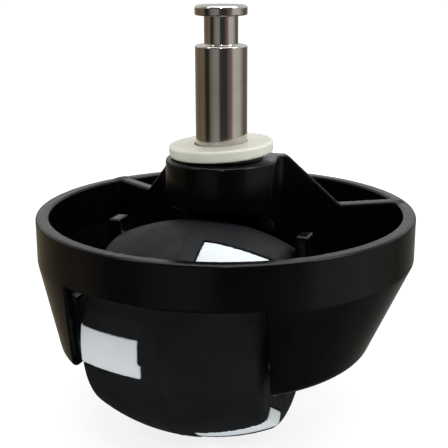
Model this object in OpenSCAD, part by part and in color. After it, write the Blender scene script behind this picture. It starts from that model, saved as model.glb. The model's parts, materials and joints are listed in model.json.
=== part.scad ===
// Swivel caster: a steel plug-in stem, a bowl-shaped housing and a trailing barrel wheel.
// Millimetres, +Z up the stem. The origin is on the stem's axis, level with the seat face
// on top of the thrust washer. The wheel trails towards -Y.

/* [Stem] */
// Diameter of the stem that plugs into the host
stem_d = 8; // [7.6:0.1:9]
// Height of the full-diameter shank above the seat face
shank_h = 15.1; // [10:0.1:25]
// Diameter of the retaining neck
neck_d = 5.2; // [4:0.1:6]
// Height of the retaining neck
neck_h = 4.4; // [2:0.1:8]
// Height of the head above the neck
head_h = 1.5; // [1:0.1:3]
// Diameter of the journal that turns in the boss
journal_d = 7; // [6:0.1:7]

/* [Swivel bearing] */
// Diameter of the thrust washer
washer_d = 16.2; // [14:0.1:18]
// Thickness of the thrust washer
washer_t = 1.8; // [1:0.1:2]
// Outer diameter of the bush in the boss
bush_d = 11; // [9.5:0.1:12]
// Depth of the bush below its flange
bush_h = 5; // [4:0.1:5.5]
// Diameter of the bush flange
flange_d = 13; // [12:0.1:16]
// Thickness of the bush flange
flange_t = 0.35; // [0.3:0.05:1.5]

/* [Housing] */
// Outer radius of the rim band
rim_r = 30; // [28:0.5:32]
// Offset of the rim's centre ahead of the stem
rim_ahead = 1.75; // [1:0.05:2.5]
// Drop from the seat face to the rim's top
rim_drop = 10.9; // [10:0.1:13]
// Height of the upright rim band
band_h = 6.9; // [5:0.1:9]
// Outer radius of the housing at its foot
foot_r = 24; // [22:0.5:27]
// Offset of the foot's centre behind the stem
foot_behind = 3.75; // [2:0.05:5]
// Drop from the seat face to the foot
foot_drop = 31.1; // [30:0.1:34]
// Wall thickness
wall = 2.1; // [1.6:0.1:2.4]
// Radius of the swivel boss
boss_r = 8.75; // [8:0.05:10]
// Angle of each web from straight ahead
web_angle = 57.8; // [50:0.2:65]
// Thickness of each web
web_t = 2.2; // [1.6:0.1:3]

/* [Wheel] */
// Distance that the axle trails behind the stem
trail = 9.65; // [8:0.05:11]
// Drop from the seat face to the axle
axle_drop = 26.95; // [26:0.05:29]
// Largest radius of the tyre
wheel_r = 16.6; // [15:0.1:17]
// Fall of the tyre's crown from its middle to its edge
crown = 2.9; // [1:0.1:4]
// Half width of the crowned tread
tread_half = 13; // [11:0.1:13.4]
// Thickness of the tyre
tyre_t = 1.6; // [1:0.1:2.5]
// Number of windows in the tyre, alternately in its left and right half
windows = 6; // [4:2:8]
// Width of each window round the wheel
window_w = 5.9; // [3:0.1:8]
// Diameter of the axle
axle_d = 3.9; // [3:0.1:4]

/* [Hidden] */
$fn = 96;
eps = 0.01;
// Radial and axial clearance of the running fits
run = 0.05;
// Clearance between a shaft and what is fixed to it
snug = 0.03;
// Play of the thrust washer round the shank
washer_play = 0.15;

// Stem details
stem_chamfer = 0.3;
head_edge = 0.35;
register_step = 0.3;
groove_r = 2.6;
clip_r = 4.5;
clip_t = 0.6;
clip_washer_r = 5.2;
clip_washer_t = 0.4;

// Levels below the seat face, from the washer down to the stem's tail
bush_top = washer_t + run;
boss_top = bush_top + flange_t;
bush_end = boss_top + bush_h;
pocket_top = bush_end + 1;
clip_washer_top = pocket_top + 0.1;
clip_top = clip_washer_top + clip_washer_t + 0.02;
groove_h = clip_t + 0.06;
groove_top = clip_top - 0.03;
stem_tail = groove_top + groove_h + 0.8;
pocket_r = 5.6;
pocket_h = 9.5;

// Housing details
floor_t = 2;
band_end = rim_drop + band_h;
well_r = wheel_r + 1.2;
well_half = 15.1;
well_back = 21.6;
cheek_top = 20.4;
cheek_back = 10.2;
web_flat_r = 10.5;
web_ledge_r = 19.4;
web_ledge = rim_drop - 0.15;
post_in = 14.2;
post_out = 16.2;
post_w = 3.5;
post_top = rim_drop + 0.8;
slot_half = axle_d / 2 + 0.02;
ridge_r = 0.6;
ridge_rise = 0.5;

// Wheel details
crown_r = (tread_half * tread_half + crown * crown) / (2 * crown);
crown_centre = wheel_r - crown_r;
shoulder = 0.9;
shoulder_centre = wheel_r - crown - shoulder;
wheel_half = tread_half + shoulder;
core_half = wheel_half - 1;
hub_half = wheel_half - 0.7;
hub_r = 5.2;
lip_r = 8.7;
window_edge = 2.7;
window_depth_r = 10.6;
window_phase = 28.45;
pad_sink = 0.15;
bush_r = 3;
bush_l = 6;
bush_flange_r = 4.6;

module tube(r_out, r_in, top, bottom) {
    translate([0, 0, -bottom]) difference() {
        cylinder(r = r_out, h = bottom - top);
        translate([0, 0, -1]) cylinder(r = r_in, h = bottom - top + 2);
    }
}

module plug(r, top, bottom) {
    translate([0, 0, -bottom]) cylinder(r = r, h = bottom - top);
}

// Everything on the axle is drawn round the axle's centre
module at_axle() {
    translate([0, -trail, -axle_drop]) children();
}

module along_x() {
    rotate([0, 90, 0]) children();
}

// Turned steel stem: head, neck, shank, a register inside the washer, and the journal
// with its clip groove
module stem() {
    color("silver") {
        translate([0, 0, shank_h + neck_h]) rotate_extrude() head_profile();
        translate([0, 0, shank_h - eps]) cylinder(d = neck_d, h = neck_h + 2 * eps);
        cylinder(d = stem_d, h = shank_h - stem_chamfer);
        translate([0, 0, shank_h - stem_chamfer])
            cylinder(d1 = stem_d, d2 = stem_d - 2 * stem_chamfer, h = stem_chamfer);
        plug(stem_d / 2 - register_step, -eps, washer_t);
        plug(journal_d / 2, washer_t - eps, groove_top);
        plug(groove_r, groove_top - eps, stem_tail - eps);
        plug(journal_d / 2, groove_top + groove_h, stem_tail);
    }
}

module head_profile() {
    r = stem_d / 2;
    square([r - head_edge, head_h]);
    translate([0, head_edge]) square([r, head_h - 2 * head_edge]);
    for (z = [head_edge, head_h - head_edge])
        translate([r - head_edge, z]) circle(r = head_edge);
}

// Open retaining clip that snaps into the groove from the side
module stem_clip() {
    color("dimgray") difference() {
        tube(clip_r, groove_r + snug, clip_top, clip_top + clip_t);
        translate([0, -groove_r * 0.8, -stem_tail])
            cube([clip_r + 1, groove_r * 1.6, stem_tail]);
    }
}

module clip_washer() {
    color("gainsboro")
        tube(clip_washer_r, journal_d / 2 + snug, clip_washer_top, clip_washer_top + clip_washer_t);
}

// Translucent washer round the foot of the shank, which the host rests on
module thrust_washer() {
    color("honeydew") tube(washer_d / 2, stem_d / 2 + washer_play, 0, washer_t);
}

// Flanged bush in which the journal turns
module stem_bush() {
    color([0.1, 0.1, 0.1]) {
        tube(flange_d / 2, journal_d / 2 + run, bush_top, boss_top);
        tube(bush_d / 2, journal_d / 2 + run, boss_top - eps, bush_end);
    }
}

// Outline of the housing: an upright band over a cone that leans back to the foot
module bowl(inset, top, bottom) {
    hull() {
        translate([0, rim_ahead, 0]) plug(rim_r - inset, top, band_end);
        translate([0, -foot_behind, -bottom]) cylinder(r = foot_r - inset, h = eps);
    }
}

// Upright web from the boss to the rim, highest beside the boss
module web(side) {
    reach = rim_r + rim_ahead;
    rotate([90, 0, 90 - side * web_angle]) translate([0, 0, -web_t / 2])
        linear_extrude(height = web_t)
            polygon([[0, -boss_top], [web_flat_r, -boss_top], [web_ledge_r, -web_ledge],
                     [reach, -web_ledge], [reach, -foot_drop], [0, -foot_drop]]);
}

// Side wall of the wheel well
module cheek(side) {
    translate([side * (well_half + wall / 2) - wall / 2, -rim_r, -foot_drop])
        cube([wall, rim_r + cheek_back, foot_drop - cheek_top]);
}

// Band, bowl, floor, webs, cheeks and boss before the wheel's room is cut
module shell() {
    difference() {
        bowl(0, rim_drop, foot_drop);
        bowl(wall, rim_drop - 1, foot_drop - floor_t);
    }
    intersection() {
        bowl(wall / 2, 0, foot_drop - floor_t / 2);
        union() {
            plug(boss_r, boss_top, foot_drop);
            for (side = [-1, 1]) {
                web(side);
                cheek(side);
            }
        }
    }
}

// Two guide posts, joined below the axle, with ridges that keep the axle in. The post on
// the stem's side is the tall one.
module posts(side) {
    span = post_out - post_in;
    low = axle_drop - foot_drop;
    translate([side * (post_in + span / 2) - span / 2, 0, 0]) {
        for (s = [-1, 1]) {
            top = axle_drop - (s > 0 ? post_top : cheek_top);
            translate([0, s * (slot_half + post_w / 2) - post_w / 2, low])
                cube([span, post_w, top - low]);
            translate([0, s * (slot_half + ridge_r / 2), slot_half + ridge_rise])
                along_x() cylinder(r = ridge_r, h = span);
        }
        translate([0, -slot_half - post_w / 2, low])
            cube([span, 2 * slot_half + post_w, -low]);
    }
}

// Room for the axle: a round seat with a slot up to the open top
module axle_room() {
    along_x() cylinder(r = slot_half, h = 2 * post_out, center = true);
    translate([-post_out, -slot_half, 0])
        cube([2 * post_out, 2 * slot_half, axle_drop - cheek_top + 1]);
}

// Room for the wheel: a barrel inside the rim band, and a window below it
module wheel_room() {
    intersection() {
        at_axle() along_x() cylinder(r = well_r, h = 2 * well_half, center = true);
        translate([-well_half - 1, -well_back, -foot_drop - 1])
            cube([2 * well_half + 2, 2 * rim_r, foot_drop]);
    }
    translate([-well_half, -trail - rim_r, -foot_drop - 1])
        cube([2 * well_half, rim_r, foot_drop + 1 - band_end]);
}

module housing() {
    color([0.06, 0.06, 0.065]) {
        difference() {
            shell();
            wheel_room();
            at_axle() axle_room();
            plug(bush_d / 2, 0, bush_end);
            plug(journal_d / 2 + 0.4, 0, pocket_top + 1);
            plug(pocket_r, pocket_top, pocket_top + pocket_h);
        }
        at_axle() difference() {
            union() {
                posts(-1);
                posts(1);
            }
            along_x() cylinder(r = slot_half, h = 2 * post_out + 2, center = true);
        }
    }
}

module axle() {
    color("silver") at_axle() along_x()
        cylinder(d = axle_d, h = 2 * post_out - 0.2, center = true);
}

// Flanged bush that lets the wheel turn on the axle
module wheel_bush(side) {
    at_axle() rotate([0, side * 90, 0]) difference() {
        union() {
            translate([0, 0, hub_half]) cylinder(r = bush_flange_r, h = wheel_half - hub_half);
            translate([0, 0, hub_half - bush_l]) cylinder(r = bush_r, h = bush_l + eps);
        }
        translate([0, 0, hub_half - bush_l - 1]) cylinder(r = axle_d / 2 + run, h = bush_l + 3);
    }
}

module wheel_bush_left() {
    color("dimgray") wheel_bush(-1);
}

module wheel_bush_right() {
    color("dimgray") wheel_bush(1);
}

// Half outline of the wheel: a crowned tread with rounded shoulders and flat ends
module wheel_outline(inset) {
    intersection() {
        translate([crown_centre, 0]) circle(r = crown_r - inset, $fn = 256);
        translate([0, -tread_half]) square([wheel_r, 2 * tread_half]);
    }
    translate([0, inset - wheel_half]) square([shoulder_centre, 2 * (wheel_half - inset)]);
    for (s = [-1, 1])
        translate([shoulder_centre, s * tread_half]) circle(r = shoulder - inset);
}

module core_outline() {
    intersection() {
        translate([crown_centre, 0]) circle(r = crown_r - tyre_t, $fn = 256);
        translate([0, -core_half]) square([wheel_r, 2 * core_half]);
    }
}

// Blocks in the places of the windows, alternately in the right and left half
module window_blocks(gap) {
    reach = wheel_half + 1 - window_edge;
    for (i = [0 : windows - 1])
        rotate([window_phase + i * 360 / windows, 0, 0])
            mirror([i % 2, 0, 0])
                translate([window_edge + gap, gap - window_w / 2, window_depth_r + gap])
                    cube([reach, window_w - 2 * gap, wheel_r]);
}

// White core whose pads fill the windows of the tyre
module wheel_core() {
    color("white") at_axle() difference() {
        union() {
            along_x() rotate_extrude() core_outline();
            along_x() cylinder(r = hub_r, h = 2 * hub_half, center = true);
            intersection() {
                along_x() rotate_extrude() wheel_outline(pad_sink);
                window_blocks(eps);
            }
        }
        along_x() cylinder(r = axle_d / 2 + 0.3, h = 3 * wheel_half, center = true);
        for (s = [-1, 1])
            translate([s * hub_half, 0, 0]) along_x()
                cylinder(r = bush_r, h = 2 * bush_l, center = true);
    }
}

// Rubber tyre moulded round the core, wrapping onto both ends
module tyre() {
    color([0.12, 0.12, 0.12]) at_axle() difference() {
        along_x() rotate_extrude() difference() {
            wheel_outline(0);
            core_outline();
            translate([0, -wheel_half - 1]) square([lip_r, 2 * wheel_half + 2]);
        }
        window_blocks(0);
    }
}

stem();
stem_clip();
clip_washer();
thrust_washer();
stem_bush();
housing();
axle();
wheel_bush_left();
wheel_bush_right();
wheel_core();
tyre();
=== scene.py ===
"""Looks of the small swivel caster: steel stem, glossy black bowl, barrel wheel.

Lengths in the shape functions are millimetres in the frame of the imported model: the origin is on
the stem's axis at the washer's top, +Z runs up the stem and the wheel trails towards -Y.
"""
import json
import math

import bpy
import numpy as np
from mathutils import Matrix, Vector


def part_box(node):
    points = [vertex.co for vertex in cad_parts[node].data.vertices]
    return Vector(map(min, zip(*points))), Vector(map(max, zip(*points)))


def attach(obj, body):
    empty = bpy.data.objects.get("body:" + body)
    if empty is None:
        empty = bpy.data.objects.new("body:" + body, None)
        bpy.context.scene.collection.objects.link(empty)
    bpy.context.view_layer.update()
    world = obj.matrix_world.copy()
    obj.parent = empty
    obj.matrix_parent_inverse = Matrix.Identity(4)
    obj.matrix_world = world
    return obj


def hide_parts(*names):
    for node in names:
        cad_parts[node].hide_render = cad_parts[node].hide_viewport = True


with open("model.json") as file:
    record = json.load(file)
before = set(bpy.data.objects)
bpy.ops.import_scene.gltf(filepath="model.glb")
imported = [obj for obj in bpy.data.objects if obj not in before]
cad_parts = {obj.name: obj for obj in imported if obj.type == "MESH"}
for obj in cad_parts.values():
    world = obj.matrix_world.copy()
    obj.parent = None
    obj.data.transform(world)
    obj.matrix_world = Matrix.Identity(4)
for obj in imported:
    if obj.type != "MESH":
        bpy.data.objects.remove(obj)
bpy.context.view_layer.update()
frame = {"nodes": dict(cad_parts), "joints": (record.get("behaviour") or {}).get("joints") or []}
MM = 0.001

# ---------------------------------------------------------------- camera and stage

VIEW_AZIMUTH = 20.1
VIEW_ELEVATION = 15.52
VIEW_ROLL = -0.2
VIEW_DISTANCE = 0.15473
VIEW_AIM = Vector((0.0005, -0.0004, -0.01294))
LENS = 78.4


def make_camera():
    """A camera on the side where the wheel trails, a little towards +X and above the rim."""
    az, el = math.radians(VIEW_AZIMUTH), math.radians(VIEW_ELEVATION)
    back = Vector((math.sin(az) * math.cos(el), -math.cos(az) * math.cos(el), math.sin(el)))
    right = Vector((math.cos(az), math.sin(az), 0))
    up = back.cross(right)
    turn = Matrix((right, up, back)).transposed() @ Matrix.Rotation(math.radians(VIEW_ROLL), 3, "Z")
    data = bpy.data.cameras.new("camera")
    data.lens = LENS
    data.sensor_width = 36
    data.clip_start = 0.01
    camera = bpy.data.objects.new("camera", data)
    camera.matrix_world = Matrix.Translation(VIEW_AIM + back * VIEW_DISTANCE) @ turn.to_4x4()
    bpy.context.scene.collection.objects.link(camera)
    bpy.context.scene.camera = camera


make_camera()

# ---------------------------------------------------------------- the CAD model's places


def node_box(node):
    """Low and high corners of a CAD node, in millimetres."""
    low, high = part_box(node)
    return np.array(low) / MM, np.array(high) / MM


def joint_place(name):
    """Where a joint's axis runs, in millimetres."""
    found = [j for j in frame["joints"] if j["name"] == name][0]
    return np.array(found["pos_m"]) / MM


_, AXLE_Y, AXLE_Z = joint_place("wheel_spin")
STEM_LOW, STEM_HIGH = node_box("stem")
WASHER_LOW, WASHER_HIGH = node_box("thrust_washer")
BUSH_LOW, BUSH_HIGH = node_box("stem_bush")
HOUSING_LOW, HOUSING_HIGH = node_box("housing")
TYRE_LOW, TYRE_HIGH = node_box("tyre")
AXLE_LOW, AXLE_HIGH = node_box("axle")

BOSS_TOP = HOUSING_HIGH[2]
FOOT_Z = HOUSING_LOW[2]
RIM_R = (HOUSING_HIGH[0] - HOUSING_LOW[0]) / 2
RIM_Y = (HOUSING_HIGH[1] + HOUSING_LOW[1]) / 2
RIM_TOP = -10.9
BAND_END = RIM_TOP - 6.9
FOOT_R = 24
FOOT_Y = -3.75
WALL = 2.1
FLOOR_TOP = FOOT_Z + 2
BOSS_R = 8.75
WEB_ANGLE = math.radians(57.8)
WEB_HALF = 1.1
WEB_FLAT_R = 10.5
WEB_LEDGE_R = 19.4
WEB_LEDGE = RIM_TOP + 0.15
WHEEL_R = (TYRE_HIGH[2] - TYRE_LOW[2]) / 2
WHEEL_HALF = (TYRE_HIGH[0] - TYRE_LOW[0]) / 2
WELL_R = WHEEL_R + 1.2
WELL_HALF = 15.1
WELL_BACK = -21.6
CHEEK_TOP = -20.4
CHEEK_BACK = 10.2
POST_IN, POST_OUT = 14.2, 16.2
POST_TOP = RIM_TOP - 0.8
POST_WIDTH = 3.5
SLOT_HALF = (AXLE_HIGH[2] - AXLE_LOW[2]) / 2 + 0.02
BUSH_BODY_R = 5.5
STEM_HOLE_R = 3.9
POCKET_R = 5.6
POCKET_TOP = BUSH_LOW[2] - 1
POCKET_END = BUSH_LOW[2] - 10.5
SHANK_R, REGISTER_R, JOURNAL_R, NECK_R = 4, 3.7, 3.5, 2.6
HEAD_LOW, NECK_LOW = 19.5, 15.1
GROOVE_LOW = STEM_LOW[2] + 0.8
GROOVE_TOP = GROOVE_LOW + 0.66

# ---------------------------------------------------------------- solids as distance fields
# A distance field gives the distance of points to a surface, negative inside. Fillets come
# from joining fields with a radius.


def both(a, b, r):
    """Intersection of two fields, with the edge rounded to radius r."""
    u, v = np.maximum(a + r, 0), np.maximum(b + r, 0)
    return np.minimum(-r, np.maximum(a, b)) + np.hypot(u, v)


def either(a, b, r):
    """Union of two fields, with the corner filled to radius r."""
    u, v = np.maximum(r - a, 0), np.maximum(r - b, 0)
    return np.maximum(r, np.minimum(a, b)) - np.hypot(u, v)


def slab(x, low, high):
    """Field of the space between two parallel planes."""
    return np.abs(x - (low + high) / 2) - (high - low) / 2


def block(x, y, z, low, high, r):
    """Field of a box with edges rounded to radius r."""
    return both(both(slab(x, low[0], high[0]), slab(y, low[1], high[1]), r),
                slab(z, low[2], high[2]), r)


def net(field, low, high, step):
    """Closed mesh of a field's zero surface: one point in each cell that it crosses, moved onto
    the surface. Returns points, quads and normals."""
    axes = [np.arange(l, h + step, step) for l, h in zip(low, high)]
    values = field(*np.meshgrid(*axes, indexing="ij"))
    values[np.abs(values) < 1e-6] = 1e-6
    start = np.array([a[0] for a in axes])
    shape = values.shape
    total = np.zeros((values.size, 3))
    count = np.zeros(values.size)
    quads = []
    for axis in range(3):
        near = np.moveaxis(values, axis, 0)[:-1]
        far = np.moveaxis(values, axis, 0)[1:]
        at = np.argwhere((near < 0) != (far < 0))
        a = near[tuple(at.T)]
        share = a / (a - far[tuple(at.T)])
        others = [i for i in range(3) if i != axis]
        cell = np.empty_like(at)
        cell[:, axis] = at[:, 0]
        cell[:, others[0]] = at[:, 1]
        cell[:, others[1]] = at[:, 2]
        point = cell.astype(float)
        point[:, axis] += share
        ring = []
        for du, dv in ((0, 0), (1, 0), (1, 1), (0, 1)):
            corner = cell.copy()
            corner[:, others[0]] -= du
            corner[:, others[1]] -= dv
            index = np.ravel_multi_index(corner.T, shape)
            np.add.at(total, index, point)
            np.add.at(count, index, 1)
            ring.append(index)
        ring = np.array(ring).T
        flip = (a < 0) == (axis == 1)
        ring[flip] = ring[flip][:, ::-1]
        quads.append(ring)
    quads = np.concatenate(quads)
    used, quads = np.unique(quads, return_inverse=True)
    quads = quads.reshape(-1, 4)
    points = start + total[used] / count[used][:, None] * step
    for _ in range(4):
        points -= gradient(field, points) * field(*points.T)[:, None]
    return points, quads, gradient(field, points)


def gradient(field, points, gap=0.01):
    """Unit normals of a field at some points."""
    slopes = np.empty_like(points)
    for i in range(3):
        ahead, behind = points.copy(), points.copy()
        ahead[:, i] += gap
        behind[:, i] -= gap
        slopes[:, i] = field(*ahead.T) - field(*behind.T)
    return slopes / np.maximum(np.linalg.norm(slopes, axis=1), 1e-9)[:, None]


def field_piece(name, field, low, high, step):
    """A Blender object made from a field given in millimetres."""
    points, quads, normals = net(field, np.array(low), np.array(high), step)
    mesh = bpy.data.meshes.new(name)
    mesh.vertices.add(len(points))
    mesh.vertices.foreach_set("co", (points * MM).astype(np.float32).ravel())
    mesh.loops.add(quads.size)
    mesh.loops.foreach_set("vertex_index", quads.astype(np.int32).ravel())
    mesh.polygons.add(len(quads))
    mesh.polygons.foreach_set("loop_start", np.arange(0, quads.size, 4, dtype=np.int32))
    mesh.update(calc_edges=True)
    mesh.validate()
    mesh.shade_smooth()
    mesh.normals_split_custom_set_from_vertices(normals.tolist())
    piece = bpy.data.objects.new(name, mesh)
    bpy.context.scene.collection.objects.link(piece)
    return piece


# ---------------------------------------------------------------- housing

STEP_HOUSING = 0.42
RIM_EDGE = 0.4
PLATE_EDGE = 0.35
FOOT_EDGE = 1.2
CUT_EDGE = 0.6
LIP_EDGE = 0.5


def bowl(x, y, z, inset):
    """Side of the housing: an upright band, then a cone that leans back to the foot."""
    share = np.clip((BAND_END - z) / (BAND_END - FOOT_Z), 0, 1.2)
    radius = RIM_R - inset + (FOOT_R - RIM_R) * share
    centre = RIM_Y + (FOOT_Y - RIM_Y) * share
    slope = math.atan2(RIM_R - FOOT_R, BAND_END - FOOT_Z)
    distance = np.hypot(x, y - centre) - radius
    return distance * np.where(share > 0, math.cos(slope), 1)


def web(x, y, z, side):
    """Upright plate from the boss to the rim, highest beside the boss."""
    along = side * x * math.sin(WEB_ANGLE) + y * math.cos(WEB_ANGLE)
    across = side * x * math.cos(WEB_ANGLE) - y * math.sin(WEB_ANGLE)
    fall = math.atan2(BOSS_TOP - WEB_LEDGE, WEB_LEDGE_R - WEB_FLAT_R)
    ramp = (z - BOSS_TOP) * math.cos(fall) + (along - WEB_FLAT_R) * math.sin(fall)
    top = either(both(z - BOSS_TOP, ramp, 0.25), z - WEB_LEDGE, 0.4)
    plate = both(np.abs(across) - WEB_HALF, top, PLATE_EDGE)
    return both(plate, -along, 0.1)


def housing_field(x, y, z):
    """The whole moulding: bowl, boss, webs, cheeks and axle posts, less the wheel's room."""
    outer = both(both(bowl(x, y, z, 0), FOOT_Z - z, FOOT_EDGE), z - RIM_TOP, RIM_EDGE)
    inner = both(bowl(x, y, z, WALL), FLOOR_TOP - z, 1.5)
    solid = both(outer, -inner, RIM_EDGE)

    inside = both(bowl(x, y, z, WALL / 2), FOOT_Z + 1 - z, 0.1)
    boss = both(np.hypot(x, y) - BOSS_R, z - BOSS_TOP, LIP_EDGE)
    core = either(web(x, y, z, 1), web(x, y, z, -1), 0.1)
    core = both(either(core, boss, 1.2), z - BOSS_TOP, 0.1)
    for side in (-1, 1):
        cheek = both(slab(side * x, WELL_HALF, WELL_HALF + WALL), z - CHEEK_TOP, PLATE_EDGE)
        cheek = np.maximum(cheek, y - CHEEK_BACK)
        core = either(core, cheek, 0.6)
    solid = either(solid, np.maximum(core, inside), 0.7)

    from_axle = np.hypot(y - AXLE_Y, z - AXLE_Z)
    well = np.maximum(np.maximum(from_axle - WELL_R, np.abs(x) - WELL_HALF), WELL_BACK - y)
    window = np.maximum(np.maximum(np.abs(x) - WELL_HALF, z - BAND_END), y - AXLE_Y)
    solid = both(solid, -np.minimum(well, window), CUT_EDGE)

    bore = np.maximum(np.hypot(x, y) - BUSH_BODY_R, BUSH_LOW[2] - z)
    hole = np.hypot(x, y) - STEM_HOLE_R
    pocket = np.maximum(np.hypot(x, y) - POCKET_R, z - POCKET_TOP)
    shaft = np.maximum(np.minimum(hole, pocket), POCKET_END - z)
    solid = both(solid, -np.minimum(bore, shaft), 0.3)

    slot = np.maximum(np.abs(y - AXLE_Y) - SLOT_HALF, AXLE_Z - z)
    slot = np.minimum(slot, from_axle - SLOT_HALF)
    slot = np.maximum(slot, np.maximum(np.abs(x) - POST_OUT, POST_IN - 1 - np.abs(x)))
    tall = block(np.abs(x), y, z, (POST_IN, AXLE_Y, FOOT_Z),
                 (POST_OUT, AXLE_Y + SLOT_HALF + POST_WIDTH, POST_TOP), PLATE_EDGE)
    short = block(np.abs(x), y, z, (POST_IN, AXLE_Y - SLOT_HALF - POST_WIDTH, FOOT_Z),
                  (POST_OUT, AXLE_Y + 0.5, CHEEK_TOP), PLATE_EDGE)
    solid = np.minimum(solid, np.minimum(tall, short))
    return both(solid, -slot, 0.3)


def make_housing():
    low = HOUSING_LOW - 1
    high = HOUSING_HIGH + 1
    piece = field_piece("housing_moulding", housing_field, low, high, STEP_HOUSING)
    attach(piece, "housing")
    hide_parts("housing")
    return piece


# ---------------------------------------------------------------- wheel

STEP_WHEEL = 0.32
CROWN = 2.9
TREAD_HALF = 13
CROWN_R = (TREAD_HALF ** 2 + CROWN ** 2) / (2 * CROWN)
SHOULDER_EDGE = 1.0
TYRE_T = 1.6
CORE_HALF = WHEEL_HALF - 1
LIP_R = 8.7
WINDOWS = 6
WINDOW_PHASE = math.radians(28.45)
WINDOW_HALF = 2.95
WINDOW_IN = 2.7
WINDOW_DEPTH_R = 10.6
NOTCHED = 1
NOTCH_W = 0.5
NOTCH_LOW = -0.6
PAD_SINK = 0.22
PAD_PROUD = 0.08
PAD_EDGE = 0.4
HUB_R = 5.2
HUB_HALF = WHEEL_HALF - 0.7
HUB_BUSH_R = 3
HUB_BUSH_L = 6
AXLE_HOLE_R = 2.3
SEAM_RISE = 0.05
SEAM_HALF = 0.12
SEAM_CREST = 0.05


def wheel_body(x, r, sink, proud, edge):
    """Crowned barrel with rounded shoulders, sunk at the tread and proud at its ends."""
    crown = np.hypot(x, r - (WHEEL_R - CROWN_R)) - (CROWN_R - SEAM_RISE - sink)
    return both(crown, np.abs(x) - WHEEL_HALF - proud, edge)


def core_body(x, r):
    crown = np.hypot(x, r - (WHEEL_R - CROWN_R)) - (CROWN_R - TYRE_T)
    return both(crown, np.abs(x) - CORE_HALF, 0.4)


def window_blocks(x, y, z, grow):
    """The windows' places, alternately in the right and the left half. One has a small step."""
    found = None
    for i in range(WINDOWS):
        turn = WINDOW_PHASE + i * 2 * math.pi / WINDOWS
        out = -(y - AXLE_Y) * math.sin(turn) + (z - AXLE_Z) * math.cos(turn)
        across = (y - AXLE_Y) * math.cos(turn) + (z - AXLE_Z) * math.sin(turn)
        side = 1 if i % 2 == 0 else -1
        place = both(np.abs(across) - WINDOW_HALF, WINDOW_IN - side * x, 0.3)
        place = both(place, WINDOW_DEPTH_R - out, 0.3) - grow
        if i == NOTCHED:
            notch = both(side * x - WINDOW_IN - NOTCH_W, NOTCH_LOW - across, 0.3)
            place = both(place, -notch, 0.2)
        found = place if found is None else np.minimum(found, place)
    return found


def tyre_field(x, y, z):
    r = np.hypot(y - AXLE_Y, z - AXLE_Z)
    solid = both(wheel_body(x, r, 0, 0, SHOULDER_EDGE), LIP_R - r, 0.35)
    solid = np.maximum(solid, -core_body(x, r))
    return both(solid, -window_blocks(x, y, z, 0), 0.15)


def core_field(x, y, z):
    r = np.hypot(y - AXLE_Y, z - AXLE_Z)
    pads = wheel_body(x, r, PAD_SINK, PAD_PROUD, PAD_EDGE)
    pads = both(pads, window_blocks(x, y, z, -0.04), 0.15)
    solid = np.minimum(core_body(x, r) + 0.01, pads)
    hub = both(r - HUB_R, np.abs(x) - HUB_HALF, 0.3)
    ring = both(np.abs(r - (HUB_R + LIP_R) / 2) - 0.7, CORE_HALF - 0.8 - np.abs(x), 0.3)
    solid = both(either(solid, hub, 0.4), -ring, 0.3)
    bore = np.where(np.abs(x) > HUB_HALF - HUB_BUSH_L, r - HUB_BUSH_R, r - AXLE_HOLE_R)
    return np.maximum(solid, -bore)


def make_wheel():
    low, high = TYRE_LOW - 1, TYRE_HIGH + 1
    tyre = field_piece("tyre_rubber_cover", tyre_field, low, high, STEP_WHEEL)
    foot = WHEEL_R - 0.3
    corners = [(foot, SEAM_HALF, 0.02), (WHEEL_R, SEAM_CREST, 0.04),
               (WHEEL_R, -SEAM_CREST, 0.04), (foot, -SEAM_HALF, 0.02)]
    seam = lathe("seam", rounded(corners), axis="X")
    seam.location = Vector((0, AXLE_Y, AXLE_Z)) * MM
    tyre = join([tyre, seam])
    core = field_piece("wheel_core_white", core_field, low, high, STEP_WHEEL)
    for piece, node, slot in ((tyre, "tyre", "tyre_rubber"), (core, "wheel_core", "core_plastic")):
        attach(piece, "wheel")
        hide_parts(node)
    return tyre, core


# ---------------------------------------------------------------- turned pieces

TURN_STEPS = 144


def rounded(corners, closed=True, steps=5):
    """Points and normals of an outline whose corners (radius, height, fillet) are filleted. It
    runs clockwise, so that its left side is outside."""
    points = []
    count = len(corners)
    for i, (px, py, fillet) in enumerate(corners):
        here = np.array([px, py], float)
        if not closed and i in (0, count - 1):
            other = np.array(corners[1 if i == 0 else count - 2][:2], float)
            d = (other - here) if i == 0 else (here - other)
            d = d / np.linalg.norm(d)
            points.append((here, np.array([-d[1], d[0]])))
            continue
        before = here - np.array(corners[i - 1][:2], float)
        after = np.array(corners[(i + 1) % count][:2], float) - here
        before, after = before / np.linalg.norm(before), after / np.linalg.norm(after)
        n1, n2 = np.array([-before[1], before[0]]), np.array([-after[1], after[0]])
        convex = before[0] * after[1] - before[1] * after[0] < 0
        sign = 1 if convex else -1
        centre = here - sign * (n1 + n2) * fillet / (1 + n1 @ n2)
        a1, a2 = math.atan2(n1[1], n1[0]), math.atan2(n2[1], n2[0])
        sweep = (a2 - a1 + math.pi) % (2 * math.pi) - math.pi
        for k in range(steps + 1):
            a = a1 + sweep * k / steps
            n = np.array([math.cos(a), math.sin(a)])
            points.append((centre + sign * fillet * n, n))
    return points


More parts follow.
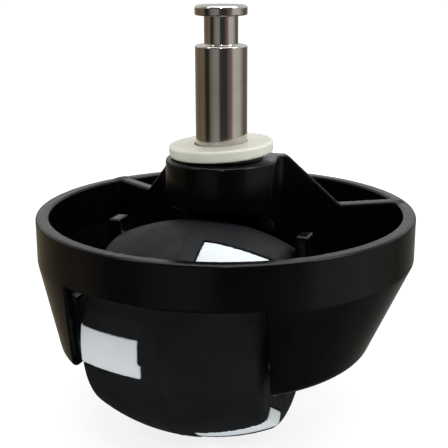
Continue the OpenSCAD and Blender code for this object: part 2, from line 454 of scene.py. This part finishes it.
def lathe(name, outline, closed=True, axis="Z"):
    """Turns an outline of (radius, height) points round an axis into a smooth mesh, in metres."""
    verts, normals, rings = [], [], []
    for (r, h), (nr, nh) in outline:
        ring = []
        steps = TURN_STEPS if r > 1e-6 else 1
        for k in range(steps):
            a = 2 * math.pi * k / TURN_STEPS
            c, s = math.cos(a), math.sin(a)
            ring.append(len(verts))
            verts.append((r * c, r * s, h))
            normals.append((nr * c, nr * s, nh) if r > 1e-6 else (0, 0, math.copysign(1, nh)))
        rings.append(ring)
    faces = []
    for a, b in zip(rings, rings[1:] + (rings[:1] if closed else [])):
        for k in range(TURN_STEPS):
            j = (k + 1) % TURN_STEPS
            face = (a[k % len(a)], b[k % len(b)], b[j % len(b)], a[j % len(a)])
            face = tuple(dict.fromkeys(face))
            if len(face) > 2:
                faces.append(face)
    verts, normals = np.array(verts) * MM, np.array(normals)
    if axis == "X":
        verts, normals = verts[:, [2, 0, 1]], normals[:, [2, 0, 1]]
    mesh = bpy.data.meshes.new(name)
    mesh.from_pydata(verts.tolist(), [], faces)
    mesh.shade_smooth()
    mesh.normals_split_custom_set_from_vertices(normals.tolist())
    piece = bpy.data.objects.new(name, mesh)
    bpy.context.scene.collection.objects.link(piece)
    return piece


def join(pieces):
    """Joins pieces into the first one."""
    bpy.ops.object.select_all(action="DESELECT")
    for piece in pieces:
        piece.select_set(True)
    bpy.context.view_layer.objects.active = pieces[0]
    bpy.ops.object.join()
    return pieces[0]


def make_stem():
    """Head, neck, shank, journal and clip groove, turned in one piece."""
    top, tail, journal = STEM_HIGH[2], STEM_LOW[2], WASHER_LOW[2]
    corners = [(0, top, 0), (SHANK_R, top, 0.45), (SHANK_R, HEAD_LOW, 0.25),
               (NECK_R, HEAD_LOW, 0.2), (NECK_R, NECK_LOW, 0.25), (SHANK_R, NECK_LOW, 0.3),
               (SHANK_R, 0, 0.05), (REGISTER_R, 0, 0.03), (REGISTER_R, journal, 0.05),
               (JOURNAL_R, journal, 0.03), (JOURNAL_R, GROOVE_TOP, 0.05),
               (NECK_R, GROOVE_TOP, 0.05), (NECK_R, GROOVE_LOW, 0.05),
               (JOURNAL_R, GROOVE_LOW, 0.05), (JOURNAL_R, tail, 0.3), (0, tail, 0)]
    stem = lathe("stem_turned", rounded(corners, closed=False), closed=False)
    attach(stem, "stem")
    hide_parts("stem")
    return stem


WASHER_TILT = math.radians(3.3)
WASHER_GAP = 0.05
FLANGE_TOP = BUSH_HIGH[2] - 0.15


def make_washer():
    """Translucent thrust washer. It is loose, and leans on the bush flange's left edge."""
    hole, edge = SHANK_R + 0.15, WASHER_HIGH[0]
    top, bottom = WASHER_HIGH[2], WASHER_LOW[2]
    corners = [(hole, top, 0.1), (edge, top, 0.4), (edge, bottom, 0.4), (hole, bottom, 0.1)]
    washer = lathe("thrust_washer_nylon", rounded(corners))
    az = math.radians(VIEW_AZIMUTH)
    reach = BUSH_HIGH[0]
    pivot = Vector((-math.cos(az) * reach, -math.sin(az) * reach, bottom)) * MM
    drop = Vector((0, 0, FLANGE_TOP + WASHER_GAP - bottom)) * MM
    lean = Matrix.Rotation(WASHER_TILT, 4, Vector((math.sin(az), -math.cos(az), 0)))
    washer.matrix_world = Matrix.Translation(pivot + drop) @ lean @ Matrix.Translation(-pivot)
    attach(washer, "stem")
    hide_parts("thrust_washer")
    return washer


def make_stem_bush():
    top, flange = FLANGE_TOP, BOSS_TOP
    low, bore, body, edge = BUSH_LOW[2], JOURNAL_R + 0.05, BUSH_BODY_R, BUSH_HIGH[0]
    corners = [(bore, top, 0.2), (edge, top, 0.1), (edge, flange, 0.05), (body, flange, 0.05),
               (body, low, 0.3), (bore, low, 0.2)]
    bush = lathe("stem_bush_acetal", rounded(corners))
    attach(bush, "housing")
    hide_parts("stem_bush")
    return bush


def make_axle():
    r, half = (AXLE_HIGH[2] - AXLE_LOW[2]) / 2, AXLE_HIGH[0]
    corners = [(0, half, 0), (r, half, 0.35), (r, -half, 0.35), (0, -half, 0)]
    axle = lathe("axle_pin", rounded(corners, closed=False), closed=False, axis="X")
    axle.location = Vector((0, AXLE_Y, AXLE_Z)) * MM
    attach(axle, "housing")
    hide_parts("axle")
    return axle


def make_wheel_bush(side, name):
    low, high = node_box(name)
    inner, outer = (low[0], high[0]) if side > 0 else (high[0], low[0])
    flange = outer - side * 0.7
    bore, body, edge = 2, HUB_BUSH_R, 4.6
    corners = [(bore, outer, 0.15), (edge, outer, 0.2), (edge, flange, 0.05),
               (body, flange, 0.05), (body, inner, 0.25), (bore, inner, 0.15)]
    if side < 0:
        corners = corners[::-1]
    bush = lathe(name + "_acetal", rounded(corners), axis="X")
    bush.location = Vector((0, AXLE_Y, AXLE_Z)) * MM
    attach(bush, "wheel")
    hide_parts(name)
    return bush


# ---------------------------------------------------------------- materials


class Nodes:
    """A material's node tree, with short calls for the nodes used here."""

    def __init__(self, name, **inputs):
        self.material = bpy.data.materials.new(name)
        self.material.use_nodes = True
        self.tree = self.material.node_tree
        self.shader = self.tree.nodes["Principled BSDF"]
        for key, value in inputs.items():
            self.shader.inputs[key.replace("_", " ")].default_value = value

    def add(self, kind, links=(), **values):
        node = self.tree.nodes.new(kind)
        for key, value in values.items():
            if hasattr(node, key):
                setattr(node, key, value)
            else:
                node.inputs[key.replace("_", " ")].default_value = value
        for name, source in dict(links).items():
            self.tree.links.new(source, node.inputs[name])
        return node

    def place(self, scale=(1, 1, 1)):
        """Coordinates on the piece, in metres, stretched by scale."""
        where = self.add("ShaderNodeTexCoord").outputs["Object"]
        return self.add("ShaderNodeMapping", {"Vector": where}, Scale=scale).outputs["Vector"]

    def noise(self, scale, detail=3, stretch=(1, 1, 1), roughness=0.5):
        node = self.add("ShaderNodeTexNoise", {"Vector": self.place(stretch)}, Scale=scale,
                        Detail=detail, Roughness=roughness)
        return node.outputs["Fac"]

    def ramp(self, value, low, high, start, end):
        """Maps value from start..end to low..high, clamped."""
        node = self.add("ShaderNodeMapRange", {"Value": value})
        node.inputs["From Min"].default_value = start
        node.inputs["From Max"].default_value = end
        node.inputs["To Min"].default_value = low
        node.inputs["To Max"].default_value = high
        return node.outputs["Result"]

    def mix(self, share, a, b):
        """Mixes two colours by share; a and b are colours or outputs."""
        node = self.tree.nodes.new("ShaderNodeMix")
        node.data_type = "RGBA"
        self.tree.links.new(share, node.inputs["Factor"])
        for socket, value in ((node.inputs[6], a), (node.inputs[7], b)):
            if isinstance(value, tuple):
                socket.default_value = (*value, 1)
            else:
                self.tree.links.new(value, socket)
        return node.outputs[2]

    def set(self, name, output):
        self.tree.links.new(output, self.shader.inputs[name])

    def bump(self, height, strength, distance):
        node = self.add("ShaderNodeBump", {"Height": height})
        node.inputs["Strength"].default_value = strength
        node.inputs["Distance"].default_value = distance
        self.set("Normal", node.outputs["Normal"])


def housing_plastic():
    m = Nodes("glossy_black_plastic", Specular_IOR_Level=0.19)
    cloud = m.noise(160, 4)
    m.set("Base Color", m.mix(m.ramp(cloud, 0, 1, 0.3, 0.7), (0.0016, 0.0016, 0.0018),
                              (0.003, 0.003, 0.0033)))
    scuff = m.ramp(m.noise(900, 5), 0, 0.1, 0.5, 0.8)
    base = m.ramp(m.noise(90, 3), 0.13, 0.22, 0.35, 0.65)
    total = m.add("ShaderNodeMath", {0: base, 1: scuff}, operation="ADD")
    m.set("Roughness", total.outputs[0])
    m.bump(m.noise(700, 2), 0.05, 0.0002)
    return m.material


def tyre_rubber():
    m = Nodes("matte_black_rubber", Specular_IOR_Level=0.14)
    cloud = m.ramp(m.noise(120, 4), 0, 1, 0.35, 0.65)
    colour = m.mix(cloud, (0.0069, 0.0078, 0.0095), (0.0106, 0.012, 0.014))
    dust = m.ramp(m.noise(2600, 2, roughness=0.7), 0, 0.55, 0.72, 0.8)
    m.set("Base Color", m.mix(dust, colour, (0.16, 0.16, 0.15)))
    m.set("Roughness", m.ramp(m.noise(420, 3), 0.5, 0.68, 0.3, 0.7))
    m.bump(m.noise(3200, 3), 0.25, 0.0001)
    return m.material


def white_plastic():
    m = Nodes("white_core_plastic", Specular_IOR_Level=0.4)
    cloud = m.ramp(m.noise(140, 3), 0, 1, 0.3, 0.7)
    m.set("Base Color", m.mix(cloud, (0.7, 0.76, 0.8), (0.77, 0.82, 0.85)))
    m.set("Roughness", m.ramp(m.noise(500, 3), 0.36, 0.5, 0.3, 0.7))
    m.bump(m.noise(1500, 2), 0.06, 0.0001)
    return m.material


def turned_steel():
    """Polished steel with fine turning lines round the stem."""
    m = Nodes("turned_steel", Metallic=1.0)
    lines = m.noise(900, 3, stretch=(0.06, 0.06, 3.0))
    cloud = m.noise(150, 3)
    m.set("Base Color", m.mix(m.ramp(cloud, 0, 1, 0.3, 0.7), (0.52, 0.5, 0.47),
                              (0.64, 0.62, 0.59)))
    m.set("Roughness", m.ramp(lines, 0.07, 0.15, 0.3, 0.7))
    m.bump(lines, 0.06, 0.00005)
    return m.material


def clip_steel():
    m = Nodes("plain_spring_steel", Metallic=1.0)
    m.set("Base Color", m.mix(m.noise(400, 3), (0.28, 0.28, 0.3), (0.42, 0.42, 0.44)))
    m.set("Roughness", m.ramp(m.noise(800, 3), 0.3, 0.45, 0.3, 0.7))
    m.bump(m.noise(1500, 2), 0.08, 0.00005)
    return m.material


def nylon():
    """Milky nylon. Its top face is painted darker: painted shade standing in for the dark boss seen
    through it from above.
    """
    m = Nodes("translucent_nylon", Subsurface_Weight=0.3, Subsurface_Scale=0.0006,
              Subsurface_Radius=(1, 1, 0.9), Specular_IOR_Level=0.5)
    cloud = m.ramp(m.noise(150, 2), 0, 1, 0.3, 0.7)
    side = m.mix(cloud, (0.82, 0.84, 0.72), (0.87, 0.89, 0.78))
    # Painted shade: the top face and the top 0.3 mm of the side get a darker copy of the nylon
    # colour, for the dark boss seen through the washer.
    height = m.add("ShaderNodeSeparateXYZ", {"Vector": m.place()}).outputs["Z"]
    m.set("Base Color", m.mix(m.ramp(height, 0, 1, -0.0003, -0.00002), side, (0.56, 0.555, 0.475)))
    m.set("Roughness", m.ramp(m.noise(200, 1), 0.26, 0.31, 0.3, 0.7))
    return m.material


def acetal():
    m = Nodes("black_acetal", Specular_IOR_Level=0.25)
    m.set("Base Color", m.mix(m.noise(300, 3), (0.002, 0.002, 0.002), (0.004, 0.004, 0.004)))
    m.set("Roughness", m.ramp(m.noise(700, 3), 0.25, 0.4, 0.3, 0.7))
    m.bump(m.noise(1500, 2), 0.06, 0.0001)
    return m.material


def dress(piece, material):
    piece.data.materials.clear()
    piece.data.materials.append(material)


# ---------------------------------------------------------------- stage and light

FLOOR_Z = TYRE_LOW[2] * MM


def make_stage():
    """A pale sweep: a floor that curves up into a wall behind the caster."""
    half, back, rise, bend = 3.0, 2.0, 3.0, 0.6
    rows = [(-half, 0)] + [(back - bend + bend * math.sin(a), bend - bend * math.cos(a))
                           for a in np.linspace(0, math.pi / 2, 12)] + [(back, rise)]
    verts = [(x, y, FLOOR_Z + z) for y, z in rows for x in (-half, half)]
    faces = [(2 * i, 2 * i + 1, 2 * i + 3, 2 * i + 2) for i in range(len(rows) - 1)]
    mesh = bpy.data.meshes.new("floor")
    mesh.from_pydata(verts, [], faces)
    mesh.shade_smooth()
    floor = bpy.data.objects.new("floor", mesh)
    bpy.context.scene.collection.objects.link(floor)
    m = Nodes("pale_floor", Roughness=0.9, Specular_IOR_Level=0.1, Emission_Strength=0.84,
              Emission_Color=(1, 1, 1, 1))
    m.set("Base Color", m.mix(m.noise(2, 2), (0.24, 0.24, 0.24), (0.26, 0.26, 0.26)))
    dress(floor, m.material)
    floor.visible_glossy = False


def area_light(name, place, size, power):
    """A rectangular lamp at place (metres) that faces the caster."""
    data = bpy.data.lights.new(name, "AREA")
    data.shape = "RECTANGLE"
    data.size, data.size_y = size
    data.energy = power
    lamp = bpy.data.objects.new(name, data)
    lamp.location = place
    lamp.rotation_euler = (-Vector(place)).to_track_quat("-Z", "Y").to_euler()
    bpy.context.scene.collection.objects.link(lamp)


def toward(turn, rise, distance):
    """A place seen from the caster at an angle to the camera's right and a height angle."""
    a, e = math.radians(VIEW_AZIMUTH + turn), math.radians(rise)
    return (distance * math.cos(e) * math.sin(a), -distance * math.cos(e) * math.cos(a),
            distance * math.sin(e))


# What stands round the studio: degrees to the right of the camera, and its colour
ROOM_LOW = ((-180, (0.45, 0.45, 0.45)), (-150, (0.25, 0.21, 0.14)), (-112, (0.16, 0.12, 0.07)),
            (-95, (0.2, 0.16, 0.11)), (-80, (0.16, 0.13, 0.09)), (-72, (0.035, 0.025, 0.016)),
            (-57, (0.035, 0.025, 0.018)), (-48, (0.16, 0.15, 0.13)), (-33, (0.28, 0.27, 0.245)),
            (-14, (0.3, 0.29, 0.265)), (-4, (0.045, 0.045, 0.045)), (22, (0.04, 0.04, 0.04)),
            (34, (0.17, 0.12, 0.1)), (44, (0.2, 0.14, 0.12)), (56, (0.6, 0.58, 0.53)),
            (86, (0.56, 0.54, 0.48)), (104, (0.28, 0.27, 0.24)), (120, (0.12, 0.1, 0.08)),
            (150, (0.2, 0.2, 0.185)), (180, (0.45, 0.45, 0.45)))
ROOM_FLOOR = ((-180, (0.09, 0.085, 0.07)), (-110, (0.05, 0.05, 0.05)), (70, (0.05, 0.05, 0.05)),
              (105, (0.1, 0.1, 0.09)), (140, (0.17, 0.165, 0.15)), (180, (0.1, 0.1, 0.09)))
ROOM_HIGH = ((-180, (0.76, 0.76, 0.76)), (-130, (0.8, 0.79, 0.76)), (-90, (0.3, 0.28, 0.25)),
             (-40, (0.12, 0.12, 0.12)), (40, (0.12, 0.12, 0.12)), (80, (0.5, 0.5, 0.48)),
             (130, (0.76, 0.76, 0.76)), (180, (0.76, 0.76, 0.76)))


def make_world():
    """Surroundings seen only as reflections: light and dark bands round the caster."""
    world = bpy.data.worlds.new("studio")
    bpy.context.scene.world = world
    world.use_nodes = True
    tree = world.node_tree
    sky = tree.nodes["Background"]
    way = tree.nodes.new("ShaderNodeTexCoord").outputs["Generated"]
    a = math.radians(VIEW_AZIMUTH)

    def dot(axis):
        node = tree.nodes.new("ShaderNodeVectorMath")
        node.operation = "DOT_PRODUCT"
        tree.links.new(way, node.inputs[0])
        node.inputs[1].default_value = axis
        return node.outputs["Value"]

    def span(value, low, high, kind):
        node = tree.nodes.new("ShaderNodeMapRange")
        node.interpolation_type = kind
        node.inputs["From Min"].default_value = low
        node.inputs["From Max"].default_value = high
        tree.links.new(value, node.inputs["Value"])
        return node.outputs["Result"]

    def bands(turn, stops):
        node = tree.nodes.new("ShaderNodeValToRGB")
        ramp = node.color_ramp
        while len(ramp.elements) < len(stops):
            ramp.elements.new(0.5)
        for i, (degrees, colour) in enumerate(stops):
            ramp.elements[i].position = degrees / 360 + 0.5
            ramp.elements[i].color = (*colour, 1)
        tree.links.new(turn, node.inputs["Fac"])
        return node.outputs["Color"]

    turn = tree.nodes.new("ShaderNodeMath")
    turn.operation = "ARCTAN2"
    tree.links.new(dot((math.cos(a), math.sin(a), 0)), turn.inputs[0])
    tree.links.new(dot((math.sin(a), -math.cos(a), 0)), turn.inputs[1])
    turn = span(turn.outputs[0], -math.pi, math.pi, "LINEAR")
    rise = dot((0, 0, 1))
    colour = bands(turn, ROOM_LOW)
    for low, high, stops in ((0.0, 0.2, ROOM_HIGH), (-0.4, -0.65, ROOM_FLOOR)):
        mix = tree.nodes.new("ShaderNodeMix")
        mix.data_type = "RGBA"
        tree.links.new(span(rise, low, high, "SMOOTHSTEP"), mix.inputs["Factor"])
        tree.links.new(colour, mix.inputs[6])
        tree.links.new(bands(turn, stops), mix.inputs[7])
        colour = mix.outputs[2]
    tree.links.new(colour, sky.inputs["Color"])
    sky.inputs["Strength"].default_value = 1.0


def make_light():
    make_world()
    area_light("top_box", (0.05, 0.1, 0.9), (1.0, 1.0), 9)
    area_light("ring_lamp", toward(1, 42, 0.7), (0.05, 0.05), 0.35)
    area_light("right_box", toward(75, 40, 0.8), (0.3, 0.2), 1.2)
    area_light("left_box", toward(-70, 45, 0.8), (0.12, 0.2), 0.55)
    bpy.context.scene.view_settings.view_transform = "Standard"


# ---------------------------------------------------------------- the caster

PLASTIC, RUBBER, WHITE = housing_plastic(), tyre_rubber(), white_plastic()
STEEL, SPRING, NYLON, ACETAL = turned_steel(), clip_steel(), nylon(), acetal()

dress(make_housing(), PLASTIC)
tyre_piece, core_piece = make_wheel()
dress(tyre_piece, RUBBER)
dress(core_piece, WHITE)
dress(make_stem(), STEEL)
dress(make_washer(), NYLON)
dress(make_stem_bush(), ACETAL)
dress(make_axle(), STEEL)
dress(make_wheel_bush(-1, "wheel_bush_left"), ACETAL)
dress(make_wheel_bush(1, "wheel_bush_right"), ACETAL)
for small in ("clip_washer", "stem_clip"):
    dress(frame["nodes"][small], SPRING)

make_stage()
make_light()
